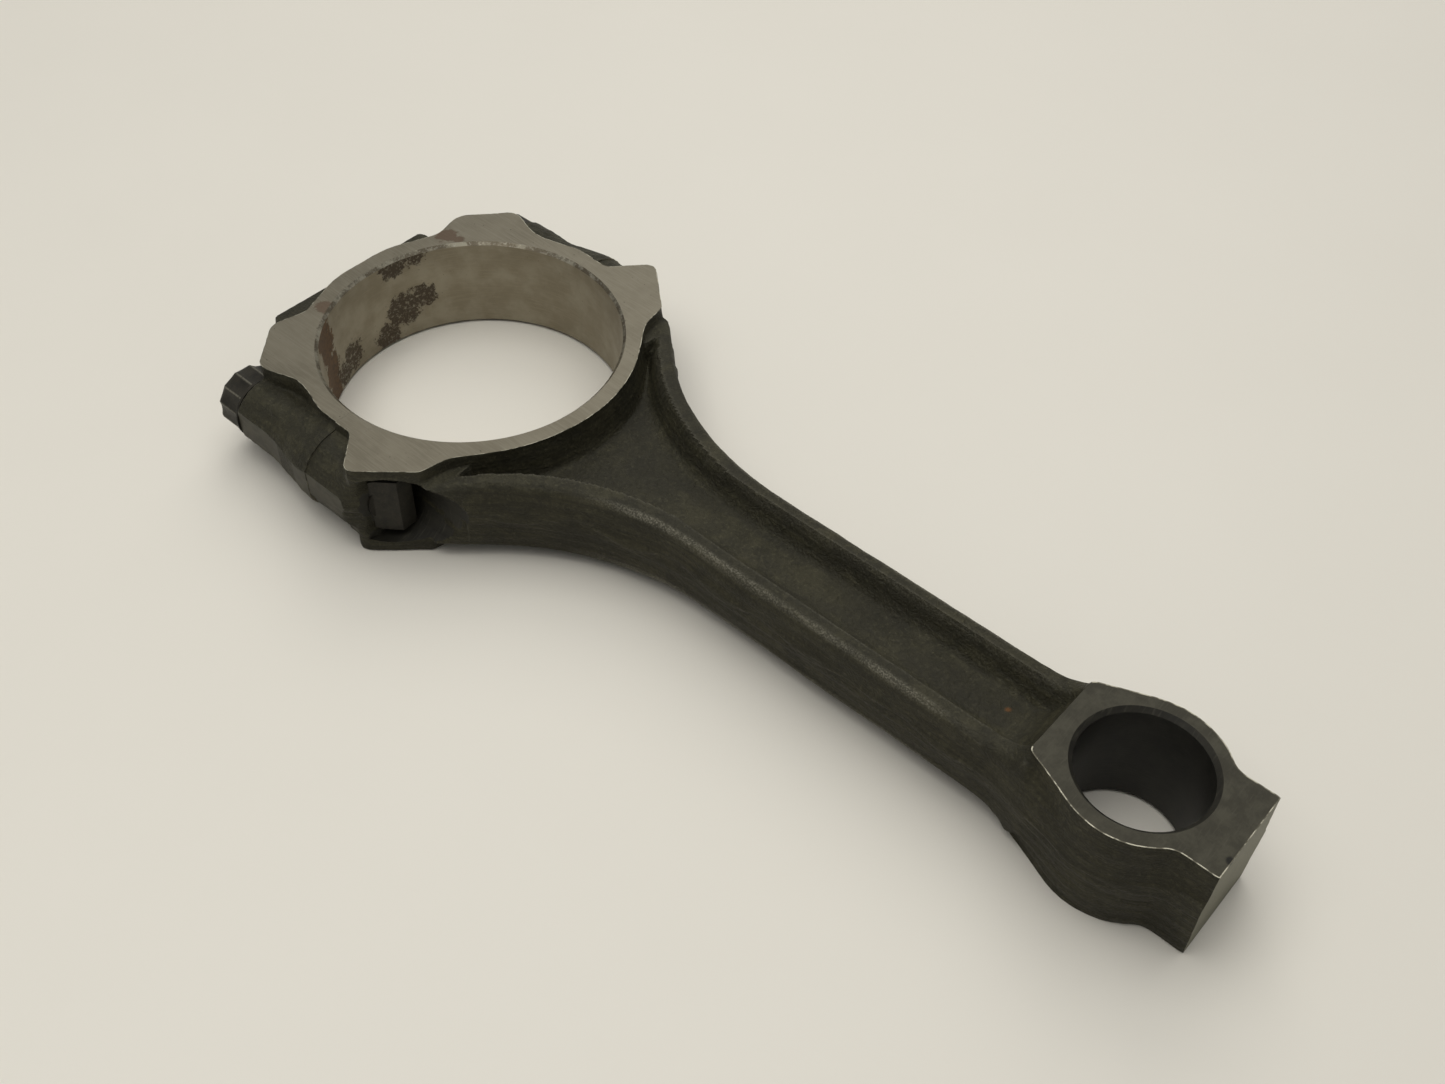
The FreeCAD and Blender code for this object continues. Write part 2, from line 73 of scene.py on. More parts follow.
# the two bores, the machined faces and the shank between them
CRANK_R = mounts["crankpin_bore"]["dims"]["r_mm"] * MM
CRANK_CHAMFER = 0.7 * MM
THRUST_Z = mounts["thrust_face_top"]["pos_m"][2]
PIN_X = mounts["piston_pin_bore"]["pos_m"][0]
PIN_R = mounts["piston_pin_bore"]["dims"]["r_mm"] * MM
PIN_CHAMFER = 0.9 * MM
PIN_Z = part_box("rod")[1].z
TAIL_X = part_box("rod")[1].x
SHANK_Z = 8.6 * MM
SHANK_Y = 11.5 * MM
WEB_Z = 3.0 * MM
MID_X = 100 * MM        # a place on the shank that tells the two ends apart

# the bolts, the nuts, and the bosses they sit in
BOLT_R = 4.76 * MM
BOLT_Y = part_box("bolt_far")[1].y - BOLT_R
HEAD_TOP_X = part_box("bolt_far")[1].x
HEAD_HEIGHT = 4.7 * MM
HEAD_SEAT_X = HEAD_TOP_X - HEAD_HEIGHT
NUT_SEAT_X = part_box("nut_far")[1].x
NUT_END_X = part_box("nut_far")[0].x
POCKET_Y = 41.0 * MM
POCKET_R = 9.4 * MM
ROD_FLAT_Y, CAP_FLAT_Y = 47.7 * MM, 45.6 * MM
EAR_X, EAR_Y = 31 * MM, 27 * MM

# stock left on the faces and in the two bores, and in the bolt holes and on the joint face
STOCK = 0.9 * MM
HOLE_STOCK = 2.4 * MM


def ramp(value, low, high):
    """Smooth step from 0 at low to 1 at high; low may be the larger of the two."""
    share = min(1.0, max(0.0, (value - low) / (high - low)))
    return share * share * (3 - 2 * share)


# ------------------------------------------------------------------ mesh helpers


def stand_in(name, mesh):
    thing = bpy.data.objects.new(name, mesh)
    bpy.context.scene.collection.objects.link(thing)
    return thing


def settled(thing):
    """Bake an object's modifiers into a new mesh and clear them."""
    depsgraph = bpy.context.evaluated_depsgraph_get()
    depsgraph.update()
    mesh = bpy.data.meshes.new_from_object(thing.evaluated_get(depsgraph))
    thing.modifiers.clear()
    thing.data = mesh


def from_bmesh(bm, name):
    mesh = bpy.data.meshes.new(name)
    bm.to_mesh(mesh)
    bm.free()
    return mesh


def block(low, high):
    """A box between two corners, as a bmesh."""
    bm = bmesh.new()
    bmesh.ops.create_cube(bm, size=1.0)
    low, high = Vector(low), Vector(high)
    bmesh.ops.scale(bm, vec=high - low, verts=bm.verts)
    bmesh.ops.translate(bm, vec=(low + high) / 2, verts=bm.verts)
    return bm


def turned(profile, place, axis, steps):
    """Spin a profile of (distance along the axis, radius) about an axis through place.

    The first and last points lie on the axis, so the shape is closed.
    """
    bm = bmesh.new()
    points = [bm.verts.new((radius, 0, along)) for along, radius in profile]
    chain = [bm.edges.new(pair) for pair in zip(points, points[1:])]
    bmesh.ops.spin(bm, geom=points + chain, cent=(0, 0, 0), axis=(0, 0, 1),
                   angle=math.tau, steps=steps, use_merge=True)
    bmesh.ops.remove_doubles(bm, verts=bm.verts, dist=1e-7)
    bmesh.ops.recalc_face_normals(bm, faces=bm.faces)
    turn = Vector((0, 0, 1)).rotation_difference(Vector(axis)).to_matrix().to_4x4()
    bmesh.ops.transform(bm, matrix=Matrix.Translation(place) @ turn, verts=bm.verts)
    return bm


def bore_cutter(x, radius, half_length, chamfer):
    """A plug along Z that leaves a bore with a chamfer at each mouth."""
    flare = 4 * MM
    mouth = half_length + flare
    wide = radius + chamfer + flare
    profile = [(-mouth, 0), (-mouth, wide), (chamfer - half_length, radius),
               (half_length - chamfer, radius), (mouth, wide), (mouth, 0)]
    return turned(profile, (x, 0, 0), (0, 0, 1), steps=240)


def rod_cutter(x_low, x_high, radius, y):
    """A plain round cutter along X."""
    length = x_high - x_low
    profile = [(0, 0), (0, radius), (length, radius), (length, 0)]
    return turned(profile, (x_low, y, 0), (1, 0, 0), steps=96)


def machine(piece, cutters):
    """Take each cutter away from the piece."""
    tools = []
    for cutter in cutters:
        tool = stand_in("tool", from_bmesh(cutter, "tool"))
        modifier = piece.modifiers.new("Cut", "BOOLEAN")
        modifier.operation = "DIFFERENCE"
        modifier.solver = "MANIFOLD"
        modifier.object = tool
        tools.append(tool)
    settled(piece)
    for tool in tools:
        bpy.data.objects.remove(tool)


def around(vert, x):
    """Distance of a vertex from an axis along Z through (x, 0)."""
    return math.hypot(vert.co.x - x, vert.co.y)


def move_round(vert, x, radius):
    """Put a vertex at a given radius about an axis along Z through (x, 0)."""
    flat = Vector((vert.co.x - x, vert.co.y, 0)).normalized() * radius
    vert.co.x, vert.co.y = x + flat.x, flat.y


# the web's own vertices lie farther than this from the crankpin's axis, and within this y
WEB_FROM_R, WEB_HALF_Y = 38.5 * MM, 24 * MM


def stock_left(node, stock):
    """Copy a CAD solid with stock left where it is machined and with the hollows filled level."""
    bm = bmesh.new()
    bm.from_mesh(frame["nodes"][node].data)
    bmesh.ops.remove_doubles(bm, verts=bm.verts, dist=1e-6)
    near = 0.05 * MM
    joint_side = -1 if node == "rod" else 1
    for vert in bm.verts:
        high = abs(vert.co.z)
        side = math.copysign(1, vert.co.z)
        from_crank = around(vert, 0)
        bolt_reach = math.hypot(abs(vert.co.y) - BOLT_Y, vert.co.z)
        if bolt_reach < BOLT_R + 2 * near:
            axis_y = math.copysign(BOLT_Y, vert.co.y)
            shrink = (BOLT_R - HOLE_STOCK) / bolt_reach
            vert.co.y = axis_y + (vert.co.y - axis_y) * shrink
            vert.co.z *= shrink
        elif from_crank < CRANK_R + CRANK_CHAMFER + near:
            move_round(vert, 0, CRANK_R - stock)
        elif around(vert, PIN_X) < PIN_R + PIN_CHAMFER + near:
            move_round(vert, PIN_X, PIN_R - stock)
        in_hollow = node == "rod" and vert.co.x > EAR_X and from_crank > WEB_FROM_R
        if in_hollow and abs(high - WEB_Z) < near and abs(vert.co.y) < WEB_HALF_Y:
            vert.co.z = side * SHANK_Z
        if abs(high - THRUST_Z) < near and vert.co.x < MID_X:
            vert.co.z += side * stock
        if abs(high - PIN_Z) < near:
            vert.co.z += side * stock
        if abs(vert.co.x) < near:
            vert.co.x += joint_side * HOLE_STOCK
        if abs(vert.co.x - TAIL_X) < near:
            vert.co.x += stock
    return bm


def skinned(bm, name, pitch):
    """Rebuild a closed solid as an even skin of small squares."""
    thing = stand_in(name, from_bmesh(bm, name))
    remesh = thing.modifiers.new("Skin", "REMESH")
    remesh.mode = "VOXEL"
    remesh.voxel_size = pitch
    settled(thing)
    return thing


def relax(bm, verts, times):
    """Ease the vertices towards their neighbours a few times."""
    for _ in range(times):
        bmesh.ops.smooth_vert(bm, verts=verts, factor=0.5,
                              use_axis_x=True, use_axis_y=True, use_axis_z=True)


def uneven(point):
    """Height of the forging's uneven skin at a point: broad waves and finer dimples."""
    broad = noise.noise(point * 95)
    middle = noise.noise(point * 260 + Vector((5, 1, 3)))
    fine = noise.noise(point * 700 + Vector((2, 7, 4)))
    return broad * 0.09 * MM + middle * 0.06 * MM + fine * 0.045 * MM


def flow(point):
    """Height of the grain lines that run along the forging's flanks."""
    return noise.noise(Vector((point.x * 60, point.y * 60, point.z * 480))) * 0.36 * MM


def store_wear_and_sheen(bm, scuff_and_sheen):
    """Store on each vertex how rubbed and highlit the skin is: on crests a little, most where
    scuffed; the brightening is partly rubbing and partly a painted highlight.
    """
    bm.normal_update()
    bulge = []
    for vert in bm.verts:
        ring = [edge.other_vert(vert).co for edge in vert.link_edges]
        middle = sum(ring, Vector()) / len(ring)
        bulge.append((vert.co - middle).dot(vert.normal))
    layer = bm.verts.layers.float.new("wear")
    for vert in bm.verts:
        beside = sum(bulge[edge.other_vert(vert).index] for edge in vert.link_edges)
        crest = 0.5 * (bulge[vert.index] + beside / len(vert.link_edges))
        # crests get a little painted highlight with their rubbing, and the flange line adds scuffs
        # with a painted highlight
        vert[layer] = max(0.3 * ramp(crest, 0.03 * MM, 0.09 * MM), scuff_and_sheen(vert.co))


# widths of the bright edge strips: bare steel with a painted highlight
BURR_GLINT_WIDTH, EDGE_GLINT_WIDTH = 0.22 * MM, 0.12 * MM
OUTER_RIM_R = 36 * MM


def rim_strip(bm, finish, width, keep):
    """Lay a narrow bright strip just inside the border of the faces that have a finish: bare steel
    with a painted highlight of the edge.
    """
    faces = [face for face in bm.faces if face.material_index == finish]
    strip = bmesh.ops.inset_region(bm, faces=faces, thickness=width, depth=0,
                                   use_boundary=True, use_even_offset=False)["faces"]
    for face in strip:
        if keep(face.calc_center_median()):
            face.material_index = BARE_GLINT


def name_faces(piece, pick):
    """Give each face the finish that pick(middle, normal) gives, and mark crisp edges."""
    bm = bmesh.new()
    bm.from_mesh(piece.data)
    for face in bm.faces:
        face.material_index = pick(face.calc_center_median(), face.normal)
        face.smooth = True
    # bright edge strips, partly burred bare steel and partly a painted highlight
    rim_strip(bm, MILLED, BURR_GLINT_WIDTH, burred_and_glinting)
    rim_strip(bm, GROUND, EDGE_GLINT_WIDTH, outer_rim)
    crisp = math.radians(24)
    for edge in bm.edges:
        if len(edge.link_faces) == 2:
            first, second = edge.link_faces
            split = first.material_index != second.material_index
            edge.smooth = not split and edge.calc_face_angle(0) < crisp
    bm.to_mesh(piece.data)
    bm.free()


def burred_and_glinting(middle):
    """Whether the pin end's rim carries a burr with a painted highlight here: along its two flanks
    and its tail.
    """
    off_bore = math.hypot(middle.x - PIN_X, middle.y) > PIN_R + 1.4 * MM
    return off_bore and (abs(middle.y) > 9.5 * MM or middle.x > PIN_X)


def outer_rim(middle):
    """Whether the thrust face's rim here is its outer one and not the bore's."""
    return math.hypot(middle.x, middle.y) > OUTER_RIM_R


# ------------------------------------------------------------------ node materials


class Wire:
    """A shader socket that Python's arithmetic works on."""

    def __init__(self, finish, socket):
        self.finish = finish
        self.socket = socket

    def __add__(self, other):
        return self.finish.maths("ADD", self, other)

    def __radd__(self, other):
        return self.finish.maths("ADD", other, self)

    def __sub__(self, other):
        return self.finish.maths("SUBTRACT", self, other)

    def __rsub__(self, other):
        return self.finish.maths("SUBTRACT", other, self)

    def __mul__(self, other):
        return self.finish.maths("MULTIPLY", self, other)


class Finish:
    """A material built from nodes on the piece's own coordinates."""

    def __init__(self, name, **constants):
        self.material = bpy.data.materials.new(name)
        self.material.use_nodes = True
        self.tree = self.material.node_tree
        self.surface = self.tree.nodes["Principled BSDF"]
        sockets = {socket.name.lower().replace(" ", "_"): socket for socket in self.surface.inputs}
        for label, value in constants.items():
            sockets[label].default_value = value
        self.place = self.node("ShaderNodeTexCoord", {}, {}, "Object")

    def node(self, kind, settings, sockets, output=0):
        """Add a node: its settings first, then the values or links of its sockets."""
        node = self.tree.nodes.new(kind)
        for label, value in settings.items():
            setattr(node, label, value)
        for label, value in sockets.items():
            self.feed(node.inputs[label], value)
        return Wire(self, node.outputs[output])

    def feed(self, socket, value):
        if isinstance(value, Wire):
            self.tree.links.new(value.socket, socket)
        else:
            socket.default_value = value

    def maths(self, operation, first, second):
        return self.node("ShaderNodeMath", {"operation": operation}, {0: first, 1: second})

    def step(self, value, low, high):
        """Smooth step from 0 at low to 1 at high."""
        return self.node("ShaderNodeMapRange", {"interpolation_type": "SMOOTHSTEP"},
                         {"Value": value, "From Min": low, "From Max": high})

    def noise(self, size, detail=3.0, rough=0.55, stretch=(1, 1, 1), twist=0.0):
        """Noise whose features are about `size` metres, stretched along an axis if wanted."""
        scale = tuple(1 / (size * part) for part in stretch)
        spread = self.node("ShaderNodeMapping", {}, {"Vector": self.place, "Scale": scale})
        return self.node("ShaderNodeTexNoise", {},
                         {"Vector": spread, "Scale": 1.0, "Detail": detail, "Roughness": rough,
                          "Distortion": twist}, "Fac")

    def blend(self, share, first, second):
        """Mix two colours."""
        colours = [value if isinstance(value, Wire) else (*value, 1) for value in (first, second)]
        return self.node("ShaderNodeMix", {"data_type": "RGBA"},
                         {"Factor": share, 6: colours[0], 7: colours[1]}, 2)

    def spot(self, centre, reach, ragged):
        """1 inside a ragged round patch, 0 outside; centre, reach and ragged edge in mm."""
        wobble = self.noise(1.6 * MM, detail=4, rough=0.7) - 0.5
        away = self.node("ShaderNodeVectorMath", {"operation": "DISTANCE"},
                         {0: self.place, 1: tuple(part * MM for part in centre)}, "Value")
        away = away + wobble * (ragged * 2 * MM)
        return 1 - self.step(away, (reach - 0.35) * MM, (reach + 0.35) * MM)

    def either(self, first, second):
        """The larger of two shares."""
        return self.maths("MAXIMUM", first, second)

    def attribute(self, name):
        return self.node("ShaderNodeAttribute", {"attribute_name": name}, {}, "Fac")

    def coat(self, colour=None, roughness=None, metallic=None, height=None, depth=None):
        """Wire colour, roughness, metal share and bump to the surface."""
        if colour is not None:
            self.feed(self.surface.inputs["Base Color"], colour)
        if roughness is not None:
            self.feed(self.surface.inputs["Roughness"], roughness)
        if metallic is not None:
            self.feed(self.surface.inputs["Metallic"], metallic)
        if height is not None:
            bump = self.node("ShaderNodeBump", {}, {"Height": height, "Distance": depth,
                                                    "Strength": 1.0}, "Normal")
            self.feed(self.surface.inputs["Normal"], bump)
        return self.material


def forging_skin():
    """Dark olive scale of a shot-blasted forging, rubbed brighter on its crests, which also carry
    a painted highlight.
    """
    skin = Finish("forging_skin", specular_ior_level=0.3)
    grain = skin.noise(0.8 * MM, detail=5, rough=0.7)
    blotch = skin.noise(8 * MM, detail=4, rough=0.6, twist=0.8)
    swirl = skin.noise(2.2 * MM, detail=3, twist=2.4)
    streaks = skin.noise(0.8 * MM, detail=3, stretch=(18, 18, 1))
    speck = skin.step(skin.noise(0.35 * MM, detail=2), 0.44, 0.62)
    wear = skin.attribute("wear")
    base = skin.blend(skin.step(blotch * 0.65 + swirl * 0.35, 0.36, 0.66),
                      (0.020, 0.0185, 0.0095), (0.041, 0.0375, 0.0195))
    base = skin.blend(skin.step(grain, 0.50, 0.72) * 0.55, base, (0.088, 0.081, 0.048))
    rust = skin.spot((143.4, 1.5, WEB_Z / MM), 0.5, 0.5) * 0.8
    base = skin.blend(rust, base, (0.22, 0.085, 0.018))
    base = skin.blend(skin.step(streaks, 0.56, 0.44) * 0.5, base, (0.017, 0.0155, 0.0085))
    # brighter where rubbed: scuffs on crests and flange edges, together with a painted highlight
    # there
    rubbed_and_sheen = wear * (speck * 0.75 + 0.25)
    base = skin.blend(rubbed_and_sheen * 0.9, base, (0.19, 0.18, 0.14))
    return skin.coat(base, 0.66 - rubbed_and_sheen * 0.2 - swirl * 0.1, 0.1 + rubbed_and_sheen * 0.6,
                     grain * 0.6 + streaks * 0.4 + swirl * 0.7, 0.45 * MM)


def ground_face():
    """Warm grey ground thrust face: fine straight lay, small pits and two rust stains."""
    face = Finish("ground_face", metallic=0.8)
    lay = face.noise(0.22 * MM, detail=2, stretch=(22, 1, 1))
    cloud = face.noise(9 * MM, detail=4, rough=0.6)
    pits = face.step(face.noise(1.1 * MM, detail=2), 0.70, 0.76)
    base = face.blend(face.step(cloud, 0.3, 0.7), (0.150, 0.136, 0.101), (0.185, 0.169, 0.128))
    base = face.blend(face.step(lay, 0.40, 0.70) * 0.45, base, (0.225, 0.210, 0.165))
    base = face.blend(pits * 0.7, base, (0.035, 0.030, 0.022))
    stain = face.spot((-31.0, 20.5, THRUST_Z / MM), 2.4, 2.2)
    stain = face.either(stain, face.spot((-31.0, -15.8, THRUST_Z / MM), 2.0, 1.8))
    stain = face.either(stain, face.spot((-27.8, 21.6, THRUST_Z / MM), 1.3, 1.2))
    base = face.blend(stain * 0.75, base, (0.070, 0.036, 0.016))
    return face.coat(base, 0.44 + cloud * 0.1 + stain * 0.3, 0.8 - stain * 0.7, lay, 0.02 * MM)


def honed_bore():
    """Honed housing bore with rust at the cap's end: a brown band and ragged pitted patches."""
    bore = Finish("honed_bore", metallic=0.75)
    lines = bore.noise(0.35 * MM, detail=2, stretch=(14, 14, 1))
    cloud = bore.noise(7 * MM, detail=4, rough=0.6)
    pitting = bore.noise(0.9 * MM, detail=4, rough=0.75)
    base = bore.blend(bore.step(cloud, 0.35, 0.7), (0.250, 0.218, 0.155), (0.330, 0.298, 0.225))
    base = bore.blend(bore.step(lines, 0.45, 0.75) * 0.35, base, (0.36, 0.325, 0.24))
    band = bore.spot((-25.5, -21.4, 11.0), 5.2, 3.0)
    for place in ((-26.6, -20.0, 5.0), (-27.0, -19.5, -2.0), (-26.6, -20.0, -9.0)):
        band = bore.either(band, bore.spot(place, 4.4, 3.0))
    patches = bore.spot((-32.6, 6.5, -3.0), 4.6, 5.0)
    for place, reach in (((-33.2, 1.5, -8.5), 3.8), ((-31.2, 11.5, -1.0), 3.2),
                         ((-31.6, -10.4, -6.0), 3.8), ((-32.6, 5.0, 10.8), 3.4),
                         ((-31.6, 10.5, 11.2), 2.8), ((-29.8, -14.6, -8.0), 3.2)):
        patches = bore.either(patches, bore.spot(place, reach, 4.6))
    eaten = patches * bore.step(pitting, 0.34, 0.50)
    specks = bore.step(bore.noise(0.8 * MM, detail=2), 0.72, 0.78) * 0.6
    rust = bore.blend(bore.step(pitting, 0.35, 0.65), (0.050, 0.024, 0.008), (0.120, 0.058, 0.019))
    base = bore.blend(bore.either(band * 0.9, specks), base, rust)
    base = bore.blend(eaten * 0.9, base, (0.052, 0.034, 0.017))
    dull = bore.either(band, eaten)
    return bore.coat(base, 0.42 + lines * 0.12 + dull * 0.3, 0.75 - dull * 0.7,
                     lines * 0.4 - eaten * pitting * 1.6, 0.06 * MM)


def milled_face():
    """Milled pin-end face, darkened by oil and age."""
    face = Finish("milled_face", metallic=0.55)
    lay = face.noise(0.3 * MM, detail=3, stretch=(1, 10, 1))
    cloud = face.noise(4 * MM, detail=5, rough=0.65)
    base = face.blend(face.step(cloud, 0.35, 0.68), (0.034, 0.0315, 0.021), (0.055, 0.052, 0.036))
    base = face.blend(face.step(lay, 0.5, 0.8) * 0.4, base, (0.085, 0.08, 0.06))
    # painted shadow: a near-black spot for the shade inside the nick at the tail's top edge, which
    # is not cut
    painted_nick_shadow = face.spot((191.2, -6.7, PIN_Z / MM), 0.75, 0.4)
    base = face.blend(painted_nick_shadow * 0.9, base, (0.004, 0.004, 0.003))
    return face.coat(base, 0.52 + lay * 0.15, None, lay * 0.6 + cloud * 0.4, 0.04 * MM)


def bare_edge():
    """Bright bruised steel along chamfers and burred edges, with a painted highlight of the edges.
    """
    edge = Finish("bare_edge", metallic=0.9)
    patch = edge.noise(2.6 * MM, detail=3, rough=0.7)
    lay = edge.noise(0.4 * MM, detail=2)
    # the light tone is bare steel brightened as a painted highlight of the edge
    base = edge.blend(edge.step(patch, 0.42, 0.58), (0.10, 0.094, 0.07), (0.40, 0.385, 0.31))
    return edge.coat(base, 0.36 + lay * 0.2)


def bore_lip():
    """Chamfer at the mouth of the big bore: plain steel, stained in places, and painted brighter
    than the faces as a highlight along the rim.
    """
    lip = Finish("bore_lip", metallic=0.8)
    patch = lip.noise(3.5 * MM, detail=4, rough=0.7)
    fine = lip.noise(0.6 * MM, detail=2)
    # the brighter tones paint a highlight along the bore's rim on top of the bare steel
    base = lip.blend(lip.step(patch, 0.42, 0.62), (0.14, 0.12, 0.085), (0.34, 0.32, 0.25))
    base = lip.blend(lip.step(fine, 0.5, 0.75) * 0.5, base, (0.48, 0.46, 0.38))
    return lip.coat(base, 0.30 + fine * 0.2)


def trimmed_flat():
    """Flats down the outside of the bolt bosses, where the flash was ground off."""
    flat = Finish("trimmed_flat", metallic=0.35, specular_ior_level=0.4)
    cloud = flat.noise(3 * MM, detail=4, rough=0.65)
    lay = flat.noise(0.4 * MM, detail=3, stretch=(9, 1, 1))
    base = flat.blend(flat.step(cloud, 0.35, 0.65), (0.036, 0.033, 0.022), (0.064, 0.060, 0.042))
    base = flat.blend(flat.step(lay, 0.5, 0.75) * 0.4, base, (0.10, 0.095, 0.07))
    return flat.coat(base, 0.5 + cloud * 0.12, None, lay * 0.5 + cloud * 0.5, 0.05 * MM)


def end_pad():
    """Sawn end of the balance pad, a flat lighter grey with a faint upright lay."""
    pad = Finish("end_pad", metallic=0.7)
    lay = pad.noise(0.35 * MM, detail=3, stretch=(1, 1, 9))
    cloud = pad.noise(6 * MM, detail=4, rough=0.6)
    base = pad.blend(pad.step(cloud, 0.3, 0.7), (0.105, 0.102, 0.062), (0.145, 0.140, 0.090))
    base = pad.blend(pad.step(lay, 0.45, 0.75) * 0.4, base, (0.19, 0.185, 0.13))
    # painted shadow: a near-black spot for the shade inside the nick at the tail's top edge, which
    # is not cut
    painted_nick_shadow = pad.spot((TAIL_X / MM, -6.7, 12.7), 0.75, 0.4)
    base = pad.blend(painted_nick_shadow * 0.9, base, (0.004, 0.004, 0.003))
    return pad.coat(base, 0.45 + cloud * 0.1, None, lay, 0.03 * MM)


def dark_bore():
    """Pin bore and bolt holes, nearly black."""
    bore = Finish("dark_bore", metallic=0.3)
    cloud = bore.noise(4 * MM, detail=4, rough=0.6)
    lines = bore.noise(0.35 * MM, detail=2, stretch=(12, 12, 1))
    base = bore.blend(bore.step(cloud, 0.3, 0.7), (0.010, 0.0095, 0.007), (0.022, 0.021, 0.016))
    return bore.coat(base, 0.42 + cloud * 0.12, None, lines, 0.03 * MM)


def bolt_pocket():
    """Spot-faced bolt pocket with ring marks of the cutter about the bolt."""
    pocket = Finish("bolt_pocket", metallic=0.3)
    cloud = pocket.noise(3 * MM, detail=4, rough=0.6)
    rings = pocket.noise(0.45 * MM, detail=2, stretch=(1, 10, 10))
    base = pocket.blend(pocket.step(cloud, 0.3, 0.7), (0.013, 0.012, 0.008), (0.026, 0.024, 0.016))
    base = pocket.blend(pocket.step(rings, 0.55, 0.75) * 0.4, base, (0.08, 0.076, 0.055))
    return pocket.coat(base, 0.5 + cloud * 0.1, None, rings, 0.04 * MM)


def black_oxide():
    """Black-oxide finish of the bolts and nuts, rubbed bright on the ridges."""
    oxide = Finish("black_oxide", metallic=0.4, specular_ior_level=0.4)
    grain = oxide.noise(0.5 * MM, detail=3)
    cloud = oxide.noise(2.6 * MM, detail=4, rough=0.65)
    wear = oxide.attribute("wear")
    base = oxide.blend(oxide.step(cloud, 0.3, 0.7), (0.017, 0.016, 0.012), (0.032, 0.029, 0.021))
    base = oxide.blend(oxide.step(grain, 0.5, 0.8) * 0.35, base, (0.075, 0.060, 0.042))
    rubbed_and_sheen = wear * oxide.step(grain, 0.30, 0.55)
    base = oxide.blend(rubbed_and_sheen * 0.85, base, (0.24, 0.23, 0.185))
    return oxide.coat(base, 0.5 + grain * 0.12, 0.4 + rubbed_and_sheen * 0.5,
                      grain * 0.6 + cloud * 0.4, 0.05 * MM)


SKIN, GROUND, BORE, MILLED, BARE_GLINT, PAD, DARK, POCKET, LIP_GLINT, TRIM = range(10)
finishes = [forging_skin(), ground_face(), honed_bore(), milled_face(), bare_edge(), end_pad(),
            dark_bore(), bolt_pocket(), bore_lip(), trimmed_flat()]
oxide = black_oxide()


def finish_of(middle, normal):
    """Pick the finish of a face of either forging from where it lies and how it faces."""
    near = 0.03 * MM
    x, y, z = middle
    from_crank = math.hypot(x, y)
    from_pin = math.hypot(x - PIN_X, y)
    flat = abs(normal.z) > 0.999
    if flat and abs(abs(z) - THRUST_Z) < near and x < MID_X:
        return GROUND
    if flat and abs(abs(z) - PIN_Z) < near:
        return MILLED
    if normal.x > 0.999 and abs(x - TAIL_X) < near:
        return PAD
    if from_crank < CRANK_R + CRANK_CHAMFER:
        return BORE if abs(normal.z) < 0.3 else LIP_GLINT
    if from_pin < PIN_R + PIN_CHAMFER:
        return DARK if abs(normal.z) < 0.3 else POCKET
    if abs(normal.x) > 0.999 and abs(x) < 0.1 * MM:
        return GROUND
    if abs(normal.x) > 0.999 and abs(x - NUT_SEAT_X) < near:
        return MILLED
    if math.hypot(abs(y) - BOLT_Y, z) < BOLT_R + 0.3 * MM:
        return DARK
    if abs(normal.y) > 0.985 and abs(y) > CAP_FLAT_Y - near and x < 40 * MM:
        return TRIM
    if x > HEAD_SEAT_X - near and math.hypot(abs(y) - POCKET_Y, z) < POCKET_R + near:
        return POCKET
    return SKIN


# ------------------------------------------------------------------ the two forgings

JOINT_GAP = 0.012 * MM
BOLT_HOLE_R = BOLT_R + 0.04 * MM
SPOT_FACE_R = 9.5 * MM
FAR = 70 * MM
CUT_DEPTH = 9 * MM

# the hollow between the flanges, and the ramp that lifts the shank to the pin end
RING_R = 37.2 * MM
HOLLOW_Y = 7.7 * MM
RING_COVE, FLANGE_COVE, FACE_COVE = 3.4 * MM, 5.2 * MM, 9 * MM
HOLLOW_FLARE_X, HOLLOW_FLARE_R = 75.3 * MM, 61 * MM
SHANK_FLARE_X, SHANK_FLARE_R = 77.8 * MM, 64 * MM
FACE_X = 154 * MM
RAMP_X = 141 * MM
RAMP_TOP_Z = 11.4 * MM

# slopes of the draft, the step where the die's halves met, and the flanges' extra thickness
ROD_DRAFT, CAP_DRAFT = 0.085, 0.07
DIE_STEP = 0.26 * MM
EXTRA_FLANGE = 0.12


def flank_y(x):
    """Half width of the shank at x: straight, then flaring into the big end."""
    if x > SHANK_FLARE_X:
        return SHANK_Y
    inside = max(0.0, SHANK_FLARE_R ** 2 - (SHANK_FLARE_X - x) ** 2)
    return SHANK_Y + SHANK_FLARE_R - math.sqrt(inside)


def shelf(x):
    """Height of the flange tops: level, then ramping up towards the pin end."""
    share = min(1.0, max(0.0, (x - RAMP_X) / (FACE_X - RAMP_X)))
    return SHANK_Z + (RAMP_TOP_Z - SHANK_Z) * (1 - math.sqrt(1 - share * share))


def lifted(x, high):
    """New distance from the middle plane of a neck point, so that the shank ramps into the eye."""
    level = shelf(x)
    crown = PIN_Z + STOCK
    if high < SHANK_Z:
        raised = high * level / SHANK_Z
    elif high < crown:
        raised = level + (high - SHANK_Z) / (crown - SHANK_Z) * (crown - level)
    else:
        raised = high
    return high + (raised - high) * (1 - ramp(x, FACE_X + 0.6 * MM, FACE_X + 3 * MM))


def cove(distance, width, top):
    """Height of the hollow's floor near an edge: a steep drop that eases onto the web."""
    share = 1 - min(1.0, max(0.0, distance / width))
    return WEB_Z + (top - WEB_Z) * (1 - math.sqrt(1 - share * share))


